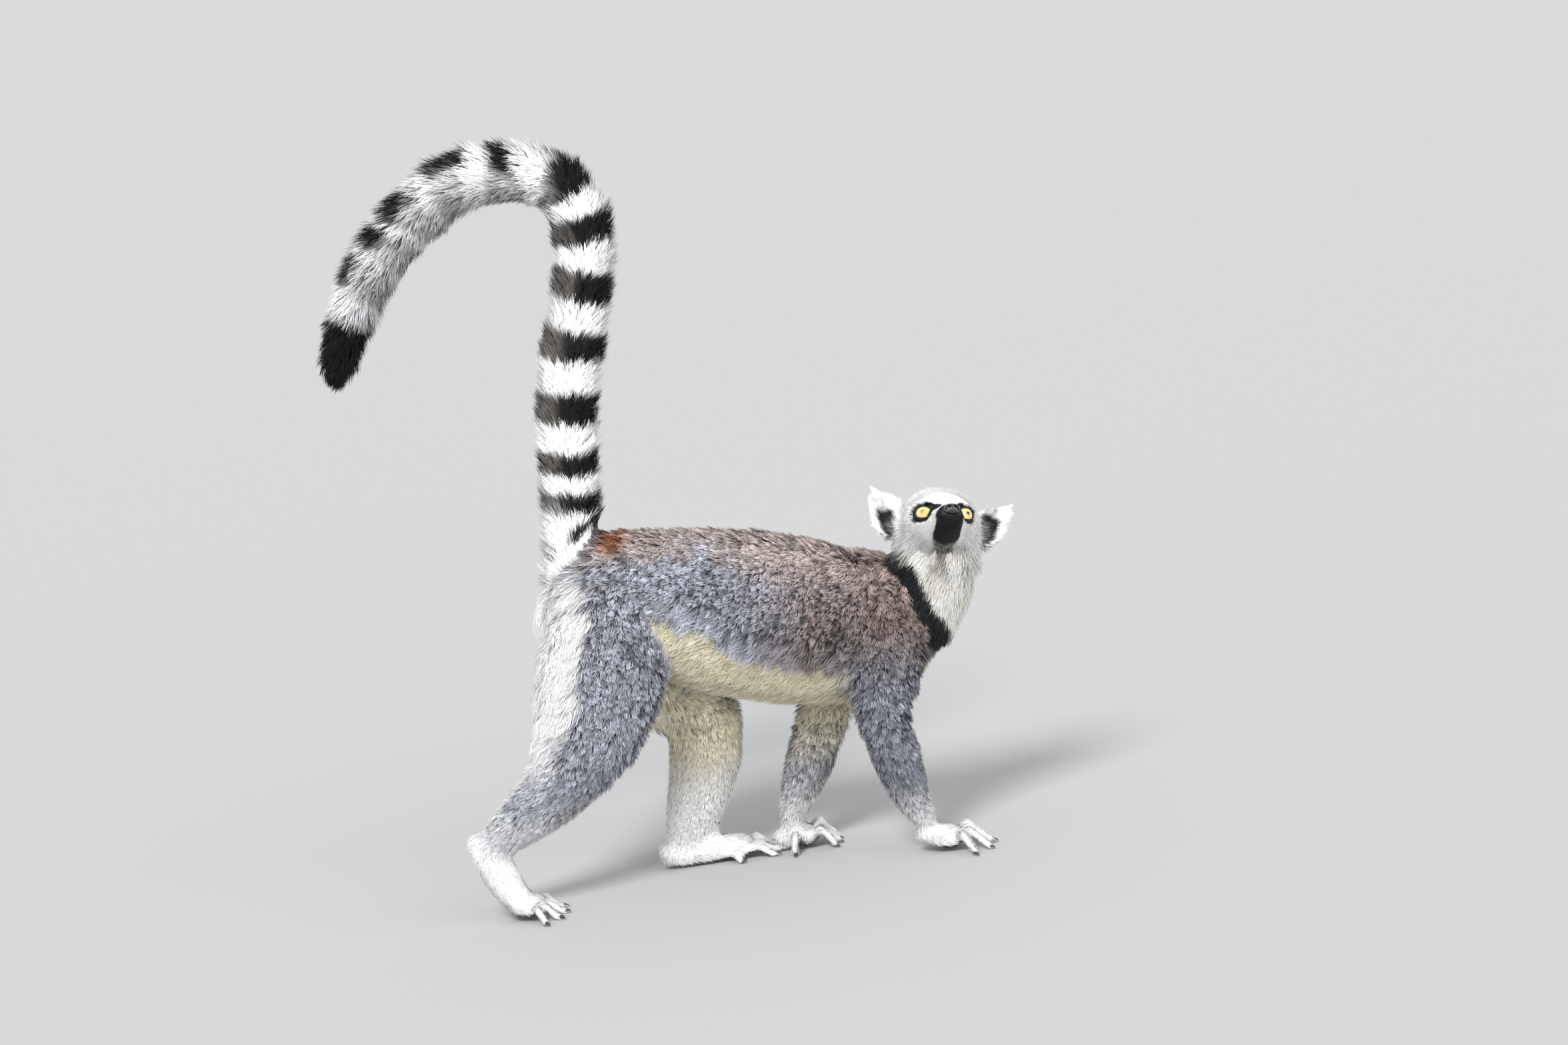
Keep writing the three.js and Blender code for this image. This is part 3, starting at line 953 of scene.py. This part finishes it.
def markings(site):
    """The colour of skin and coat at each place, as linear red, green and blue."""
    body = body_colour(site)
    parts = {"tail": tail_colour(site), "head": head_colour(site), "ear": ear_colour(site)}
    parts["foot"] = parts["digit"] = foot_colour(site)
    colour = sum(parts.get(g, body) * site.part(g)[:, None] for g in GROUPS)
    return mix(colour, LEATHER, bare(site))


# ---- the coat

# A tuft's patch on the bake map, and its forms: how far along each pair of corners is, and their width.
PATCH = 0.003
LONG = ((0.0, 0.8), (0.34, 1.0), (0.7, 0.75), (1.0, 0.0))
SHORT = ((0.0, 0.9), (0.55, 0.9), (1.0, 0.0))
LONGEST_SHORT = 13.5
# The ruff's middle in the head's axes, on the left side, and half its size.
RUFF_MIDDLE = (-6, 27, -16)
RUFF_HALF = (16, 12, 15)
# How deep a tuft's root is sunk; how light pale fur is at its roots and tips; the lightest tone of all.
ROOT_SINK = 0.4
PALE_ROOT = 0.95
PALE_TIP = 1.1
LIGHTEST = 0.95
# The share of tufts that lead the others of their clump, and a clump's radius.
LEADERS = 0.09
CLUMP = 3.0
# How far over the floor the tufts' tips and the nails stay.
TIP_HEIGHT = 0.5
NAIL_HEIGHT = 0.25
# Each piece: its slot, how its nodes' names start, and its side of a node that two pieces share.
COAT_PIECES = {
    "coat_head": ("face_fur", ("head", "ear")),
    "coat_neck": ("face_fur", ("neck",)),
    "coat_chest": ("body_fur", ("chest",)),
    "coat_belly_right": ("body_fur", ("belly",), "right"),
    "coat_belly_left": ("body_fur", ("belly",), "left"),
    "coat_rump": ("body_fur", ("rump",)),
    "coat_tail_low": ("tail_fur", ("tail_1", "tail_2", "tail_3")),
    "coat_tail_high": ("tail_fur", ("tail_4", "tail_5", "tail_6")),
    "coat_thigh_right": ("body_fur", ("thigh_right",)),
    "coat_thigh_left": ("body_fur", ("thigh_left",)),
    "coat_shanks": ("body_fur", ("shank",)),
    "coat_arms": ("body_fur", ("upper_arm", "forearm")),
    "coat_feet": ("hand_and_foot_fur", ("foot", "toe")),
    "coat_hands": ("hand_and_foot_fur", ("hand", "finger")),
}


def plant(skin, faces, dice):
    """Roots of the tufts, as thick on the skin as COAT says, with none where it is bare."""
    a, b, c = (skin.place[faces[:, k]] for k in range(3))
    area = lengths(np.cross(b - a, c - a)) / 2
    face = skin.part("head") * ramp(skin.inner[:, 0], 12, 30)
    wanted = skin.coat("count") * (1 - bare(skin))
    wanted = wanted * (1 - 0.6 * ear_hollow(skin, EAR_BLACK, 7.0)) * (1 + 1.2 * face)
    total = np.cumsum(area * wanted[faces].mean(axis=1))
    count = int(total[-1])
    hits = np.minimum(np.searchsorted(total, np.arange(count) + dice.random(count)), len(faces) - 1)
    u, v = dice.random((2, count))
    over = u + v > 1
    u, v = np.where(over, 1 - u, u), np.where(over, 1 - v, v)
    return skin.at(faces[hits], rows_of(1 - u - v, u, v))


def wool(site):
    """How woolly the coat is: all of trunk and upper limbs but the belly and rear fringe."""
    return site.part("trunk", "thigh") * (1 - belly_share(site)) * (1 - rear_share(site))


def creases(site):
    """Folds where the woolly coat parts, mostly across its lie, from 0 to 1."""
    stretched = site.place / np.array([1.7, 1.7, 1.0])
    ridge = np.abs(noise(stretched, 11, 21) + 0.4 * site.noise(5, 22))
    return (1 - ramp(ridge, 0.02, 0.16)) * wool(site) * ramp(site.noise(30, 23), -0.5, 0.2)


def tuft_lengths(site, lift, dice):
    """How long each tuft is: it reaches the solids' outline, and is longer in fringes."""
    full = np.maximum(site.depth / np.sin(lift), 2.6)
    muzzle = site.part("head") * ramp(site.inner[:, 0], 24, 40)
    rim = site.part("ear") * ramp(site.radius, 5.0, 8.0)
    tail = 0.03 + 0.25 * ramp(site.along, 300, 450) + 0.6 * ramp(60 - site.ahead, 0, 60)
    longer = 1.4 * rim + 0.5 * ear_hollow(site, EAR_GREY, 9.0) + site.part("tail") * tail
    longer = longer + 0.6 * rear_share(site) + 0.6 * fringe_share(site)
    longer = longer + 0.9 * ruff_share(site) + 0.35 * site.part("foot", "digit")
    lumps = 1 + wool(site) * (0.2 * site.noise(7, 24) - 0.45 * creases(site))
    return full * (1 - 0.35 * muzzle) * (1 + longer) * lumps * dice.uniform(0.85, 1.25, len(full))


def ruff_share(site):
    """How far each place is in the ruff behind the cheeks, under the ears."""
    forward, left, up = site.inner.T
    off = (rows_of(forward, np.abs(left), up) - RUFF_MIDDLE) / RUFF_HALF
    return ramp(1.2 - lengths(off), 0, 0.7) * site.part("head", "neck")


def tuft_tips(site, dice):
    """Where each tuft would end if it stood alone, and its length."""
    count = len(site.place)
    loose = wool(site)
    flat = 0.4 * belly_share(site) + 0.48 * back_share(site)
    flat = flat + 0.25 * fringe_share(site) + 0.35 * rear_share(site)
    lift = np.radians(site.coat("lift")) * (1 - flat) * (1 + 0.3 * ruff_share(site))
    lift = lift * (1 - 0.5 * site.part("tail") * ramp(60 - site.ahead, 0, 60))
    length = tuft_lengths(site, lift, dice)
    swirl = (0.2 + 0.3 * loose) * site.noise(15, 11) + 0.5 * loose * site.noise(6, 25)
    swirl = swirl + (0.12 + 0.2 * loose) * dice.normal(0, 1, count)
    side = np.cross(site.normal, site.lie)
    way = site.lie * np.cos(swirl)[:, None] + side * np.sin(swirl)[:, None]
    angle = np.clip(lift * dice.normal(1, 0.16, count), 0.08, 1.35)
    step = way * np.cos(angle)[:, None] + site.normal * np.sin(angle)[:, None]
    return site.place + step * length[:, None], length


def lean_together(site, tips, dice):
    """Draws tufts' tips to that of the nearest leader; also returns each tuft's leader."""
    leaders = np.flatnonzero(dice.random(len(tips)) < LEADERS)
    tree = tree_of(site.place[leaders], leaders.tolist())
    lead = np.array([tree.find(p)[1] for p in site.place.tolist()])
    pull = site.coat("clump") * (1 - 0.7 * belly_share(site)) * dice.uniform(0.5, 1.2, len(tips))
    pull = np.clip(pull, 0, 0.95) * (lengths(site.place - site.place[lead]) < 2 * CLUMP)
    return tips + (tips[lead] - tips) * pull[:, None], lead


def ribbons(site, form, dice):
    """Places, faces, colours, normals and bake patches of tufts of one form."""
    count = len(site.place)
    chord = site.tip - site.place
    long = lengths(chord)
    bend = np.cross(unit(chord), site.normal) * (site.coat("curl") * dice.normal(0, 1, count))[:, None]
    arch = (0.09 * site.normal + bend) * long[:, None]
    roll = (dice.uniform(-1, 1, count) * (0.8 - 0.55 * site.pale))[:, None]
    across = unit(np.cross(unit(chord), site.normal))
    across = unit(across * np.cos(roll) + site.normal * np.sin(roll))
    half = (site.coat("width") * dice.uniform(0.7, 1.3, count) / 2)[:, None]
    base = site.colour * site.shade[:, None]
    # Darker roots: partly the hairs' own darker bases, partly painted shade in the gaps between tufts.
    root = site.coat("root") + 0.3 * back_share(site)
    root = root + (PALE_ROOT - root) * site.pale
    bright = site.coat("tip") + (PALE_TIP - site.coat("tip")) * site.pale
    places, tones, corners = [], [], []
    for t, width in form:
        core = site.place + chord * t + arch * (4 * t * (1 - t)) - site.normal * (ROOT_SINK * (t == 0))
        tone = base * (root + (bright - root) * t)[:, None]
        for s in (-1, 1) if width > 0 else (0,):
            places.append(core + across * half * width * s)
            tones.append(np.clip(tone, 0, LIGHTEST))
            corners.append((0.5 * s * width, t - 0.5))
    normals = np.repeat(unit(site.normal + 0.35 * unit(chord) + site.dome), len(corners), axis=0)
    patches = (site.patch[:, None] + PATCH * np.array(corners)).reshape(-1, 2)
    places, tones = (rows_of(*rows).reshape(-1, 3) for rows in (places, tones))
    return places, ribbon_faces(count, len(corners)), tones, normals, patches


def ribbon_faces(count, corners):
    """Triangles of ribbons that each have pairs of corners up to a single one at the tip."""
    strip = [tri for k in range(0, corners - 3, 2) for tri in ((k, k + 1, k + 3), (k, k + 3, k + 2))]
    strip.append((corners - 3, corners - 2, corners - 1))
    return (np.arange(count)[:, None, None] * corners + np.array(strip)).reshape(-1, 3)


def unwrap(site, words):
    """Each root's place on an unwrap of the skin: round its part, side by side, and along it."""
    if "head" in words:
        along = np.arccos(np.clip(unit(site.inner)[:, 0], -1, 1))
        turn = np.arctan2(site.inner[:, 1], site.inner[:, 2])
        part, parts = 0, 1
    else:
        along = site.along
        turn = np.arctan2(dots(site.spoke, LEFT), site.spoke[:, 0] + site.spoke[:, 2])
        found, part = np.unique(site.node, return_inverse=True)
        parts = len(found)
    across = (part + turn / (2 * math.pi) + 0.5) / parts
    up = (along - along.min()) / max(np.ptp(along), 1e-6)
    return 0.01 + 0.98 * rows_of(across, up)


def tufts(skin, faces, dice):
    """Every tuft's root, with its tip, form, colour and shading."""
    roots = plant(skin, faces, dice)
    tips, length = tuft_tips(roots, dice)
    tips, lead = lean_together(roots, tips, dice)
    tips[:, 2] = np.maximum(tips[:, 2], TIP_HEIGHT)
    roots.tip = tips
    roots.long = length > LONGEST_SHORT
    roots.colour = markings(roots)
    roots.pale = ramp(roots.colour.mean(axis=1), 0.54, 0.70)
    uneven = 0.035 + (0.11 + 0.06 * wool(roots)) * (1 - roots.pale)
    shade = uneven * dice.normal(0, 1, len(tips)) + 1.6 * uneven * dice.normal(0, 1, len(tips))[lead]
    # Tufts in the creases are painted darker: painted shade in the folds.
    roots.shade = np.clip(1 + shade - 0.45 * creases(roots), 0.35, 1.6)
    dome = (roots.place - roots.place[lead]) / CLUMP
    roots.dome = dome * (0.55 * roots.coat("clump") / np.maximum(lengths(dome), 1))[:, None]
    return roots


def grow_coat(skin, faces):
    """All the coat's pieces."""
    dice = np.random.default_rng(SEED)
    roots = tufts(skin, faces, dice)
    names = flesh_nodes()
    for piece, (slot, words, *side) in COAT_PIECES.items():
        mine = np.isin(roots.node, [names.index(n) for n in nodes_from(*words)])
        for half in side:
            mine &= np.sign(roots.place[:, 1]) == SIDES[half]
        meshes = []
        for form, chosen in ((LONG, mine & roots.long), (SHORT, mine & ~roots.long)):
            if chosen.any():
                site = roots.pick(chosen)
                site.patch = unwrap(site, words)
                meshes.append(ribbons(site, form, dice))
        others = (np.vstack([mesh[k] for mesh in meshes]) for k in (2, 3, 4))
        dress(make_mesh(piece, *stacked(*(mesh[:2] for mesh in meshes)), *others), FUR, slot)


# ---- eyes, lids, nose and nails

# The iris's and pupil's radii; the iris's colours from the pupil out; its rim, the ball and the pupil.
IRIS = 6.3
PUPIL = 1.25
AMBER = ((0.60, 0.30, 0.05), (0.82, 0.60, 0.20), (0.84, 0.68, 0.32))
IRIS_RIM = (0.06, 0.035, 0.02)
BALL = (0.035, 0.025, 0.02)
HOLE_BLACK = (0.002, 0.002, 0.002)
# The lids' rim from inside out: its size next to the eye's opening, and its height over the ball.
LID_PROFILE = ((0.94, -0.9), (0.985, 0.1), (1.03, 0.7), (1.09, 1.1), (1.17, 1.2), (1.3, 0.8), (1.5, -0.5))
# The nose's half width, height and length, and its middle forward, left and up of the head's centre.
NOSE_HALF = (7.0, 4.8, 5.0)
NOSE_MIDDLE = (57.0, 0.0, -11.5)
# The ends of a nostril, aside and up of the nose's middle, and the painted highlight on its lower rim.
NOSTRIL = ((2.7, 0.6), (5.3, -1.5))
NOSTRIL_RIM_HIGHLIGHT = (0.16, 0.17, 0.19)
# Rows and columns of the balls that are shaped into the eyes, the nose and the nails.
EYE_GRID = (70, 96)
NOSE_GRID = (80, 120)
NAIL_GRID = (16, 20)
LID_TURNS = 64


def grid_faces(rows, columns):
    """Triangles of a grid that closes on itself along its columns."""
    i, j = np.meshgrid(np.arange(rows - 1), np.arange(columns), indexing="ij")
    a, b = i * columns + j, i * columns + (j + 1) % columns
    c, d = a + columns, b + columns
    return np.vstack([np.stack([a, c, d], -1).reshape(-1, 3), np.stack([a, d, b], -1).reshape(-1, 3)])


def ball_grid(rows, columns):
    """Angles from the pole and round it, for a ball made of rows and columns."""
    turns = np.arange(columns) * 2 * math.pi / columns
    tilt, turn = np.meshgrid(np.linspace(0, math.pi, rows), turns, indexing="ij")
    return tilt.ravel(), turn.ravel()


def make_eye(name, side):
    """An eyeball: small pupil, amber iris with fibres, dark rim, and the cornea's low dome."""
    centre, outward, upward, gaze = eye_of(side)
    tilt, turn = ball_grid(*EYE_GRID)
    radius = EYE_RADIUS + 0.7 * (1 - ramp(tilt, 0.25, 0.85))
    flat = np.sin(tilt) * radius
    local = np.outer(flat * np.cos(turn), outward) + np.outer(flat * np.sin(turn), upward)
    local = local + np.outer(np.cos(tilt) * radius, gaze)
    fibre = noise(rows_of(np.cos(turn) * 9, np.sin(turn) * 9, flat * 0.35), 1.0, 31)
    fine = noise(rows_of(np.cos(turn) * 24, np.sin(turn) * 24, flat * 0.5), 1.0, 32)
    amber = layered(AMBER[0], (AMBER[1], ramp(flat, 1.0, 3.4)), (AMBER[2], ramp(flat, 3.6, 5.6)))
    colour = layered(
        amber * (1 + 0.12 * fibre + 0.10 * fine)[:, None],
        (IRIS_RIM, ramp(flat, IRIS - 0.5, IRIS + 0.1)),
        (BALL, ramp(flat, IRIS + 0.1, IRIS + 0.8)),
        (HOLE_BLACK, ramp(PUPIL + 0.15 - flat, -0.2, 0.2)),
        (BALL, ramp(tilt, 1.4, 1.5)),
    )
    return make_mesh(name, HEAD.outside(centre + local), grid_faces(*EYE_GRID), np.clip(colour, 0, 1))


def lid_rims():
    """The bare rims of the lids, as rings to be joined to the skin: their places and faces."""
    turn = np.arange(LID_TURNS) * 2 * math.pi / LID_TURNS
    parts = []
    for side in SIDES.values():
        centre, outward, upward, gaze = eye_of(side)
        rings = []
        for scale, lift in LID_PROFILE:
            aside, rise = scale * EYE_OPENING[0] * np.cos(turn), scale * EYE_OPENING[1] * np.sin(turn)
            deep = np.sqrt(np.maximum(EYE_RADIUS**2 - aside**2 - rise**2, 0.5))
            way = unit(np.outer(aside, outward) + np.outer(rise, upward) + np.outer(deep, gaze))
            rings.append(HEAD.outside(centre + way * (EYE_RADIUS + lift)))
        parts.append((np.vstack(rings), grid_faces(len(rings), LID_TURNS)))
    return stacked(*parts)


def make_nose():
    """The bare nose: a rounded pad with two comma nostrils and a groove down its middle."""
    tilt, turn = ball_grid(*NOSE_GRID)
    wide = NOSE_HALF[0] * (1 + 0.10 * np.sin(turn))
    aside, rise = np.sin(tilt) * np.cos(turn) * wide, np.sin(tilt) * np.sin(turn) * NOSE_HALF[1]
    ahead = np.sign(np.cos(tilt)) * np.abs(np.cos(tilt)) ** 0.8 * NOSE_HALF[2]
    flat = rows_of(np.abs(aside), rise)
    gap, t = to_segment(flat, *NOSTRIL)
    hole = ramp(1.75 - 0.8 * t - gap, 0, 0.9) * (np.cos(tilt) > 0)
    rim = np.exp(-(((gap - 2.1 + 0.7 * t) / 0.5) ** 2)) * (np.cos(tilt) > 0)
    groove = np.exp(-((aside / 0.45) ** 2)) * ramp(1.5 - rise, 0, 1.5)
    grain = noise(rows_of(aside, rise, ahead), 0.55, 41)
    ahead = ahead - 2.6 * hole + 0.35 * rim - 0.5 * groove + 0.05 * grain
    local = rows_of(ahead, aside, rise) + NOSE_MIDDLE
    # The pale blue-grey along the nostrils' lower rims is a painted highlight.
    colour = layered(LEATHER, (HOLE_BLACK, hole), (NOSTRIL_RIM_HIGHLIGHT, 0.8 * rim * ramp(-rise, -0.5, 2)))
    return make_mesh("nose_leather", HEAD.outside(local), grid_faces(*NOSE_GRID), colour)


def make_nails():
    """Twenty curved nails in one mesh; the second toes' are the grooming claws."""
    tilt, turn = ball_grid(*NAIL_GRID)
    parts = []
    for name in nodes_from("toe", "finger"):
        end = AXES[name].points[-1]
        way = unit(AXES[name].ways[-1] * [1, 1, 0.35])
        side = unit(np.cross(UP, way))
        over = np.cross(way, side)
        close = node_points(name)
        close = close[lengths(close - end) < 6]
        top = np.quantile((close - end) @ over, 0.9)
        claw = 1.45 if name.startswith("toe") and name.endswith("2") else 1.0
        long = 2.9 * claw * np.cos(tilt)
        wide = 1.75 / claw * np.sin(tilt) * np.cos(turn) * (1 - 0.18 * np.cos(tilt))
        high = 0.55 * np.sin(tilt) * np.sin(turn) - 0.16 * wide**2 - 0.055 * (long + 2) ** 2 + top - 0.75
        nail = end - way * 1.4 + np.outer(long, way) + np.outer(wide, side) + np.outer(high, over)
        parts.append((nail, grid_faces(*NAIL_GRID)))
    places, faces = stacked(*parts)
    places[:, 2] = np.maximum(places[:, 2], NAIL_HEIGHT)
    tone = np.clip(0.045 + 0.02 * noise(places, 1.2, 51), 0.01, 0.1)
    return make_mesh("nails", places, faces, rows_of(tone, tone * 0.95, tone * 0.92))


# ---- materials

# Each material: its roughness; the bump's grains to the metre, strength and depth in metres; and what
# else is set on its shader.
MATERIALS = {
    "fur": (0.75, 900.0, 0.35, 0.0006, {"Specular IOR Level": 0.2, "Sheen Weight": 0.03}),
    "skin": (0.6, 700.0, 0.5, 0.0007, {"Specular IOR Level": 0.35}),
    "wet_eye": (0.25, 1800.0, 0.08, 0.0002, {"Coat Weight": 1.0, "Coat Roughness": 0.02}),
    "nose_skin": (0.33, 1600.0, 0.4, 0.0003, {"Coat Weight": 0.6, "Coat Roughness": 0.15}),
    "horn": (0.35, 1200.0, 0.25, 0.0002, {"Specular IOR Level": 0.5}),
}


def make_material(name):
    """A material of MATERIALS, which takes its colour from the mesh's tint and has noise as its bump."""
    roughness, scale, strength, distance, others = MATERIALS[name]
    made = bpy.data.materials.new(name)
    made.use_nodes = True
    nodes, link = made.node_tree.nodes, made.node_tree.links.new
    shader = nodes["Principled BSDF"]
    set_inputs(shader, {"Roughness": roughness, **others})
    tint = nodes.new("ShaderNodeVertexColor")
    tint.layer_name = "tint"
    link(tint.outputs["Color"], shader.inputs["Base Color"])
    place = nodes.new("ShaderNodeTexCoord")
    grain = nodes.new("ShaderNodeTexNoise")
    set_inputs(grain, {"Scale": scale, "Detail": 4.0})
    bump = nodes.new("ShaderNodeBump")
    set_inputs(bump, {"Strength": strength, "Distance": distance})
    link(place.outputs["Object"], grain.inputs["Vector"])
    link(grain.outputs["Fac"], bump.inputs["Height"])
    link(bump.outputs["Normal"], shader.inputs["Normal"])
    return made


# ---- the whole animal

FUR = make_material("fur")
add_camera()
add_surroundings()
SKIN, FACES = sculpt_skin()
RIMS = lid_rims()
TONES = np.vstack([markings(SKIN), np.tile(BLACK, (len(RIMS[0]), 1))])
WHOLE_SKIN = make_mesh("skin", *stacked((SKIN.place, FACES), RIMS), TONES)
dress(WHOLE_SKIN, make_material("skin"), "body_fur", *flesh_nodes())
grow_coat(SKIN, FACES)
WET = make_material("wet_eye")
for side_name, sign in SIDES.items():
    dress(make_eye(f"eyeball_{side_name}", sign), WET, "eyes", f"eye_{side_name}")
dress(make_nose(), make_material("nose_skin"), "nose", "nose")
dress(make_nails(), make_material("horn"), "nails")
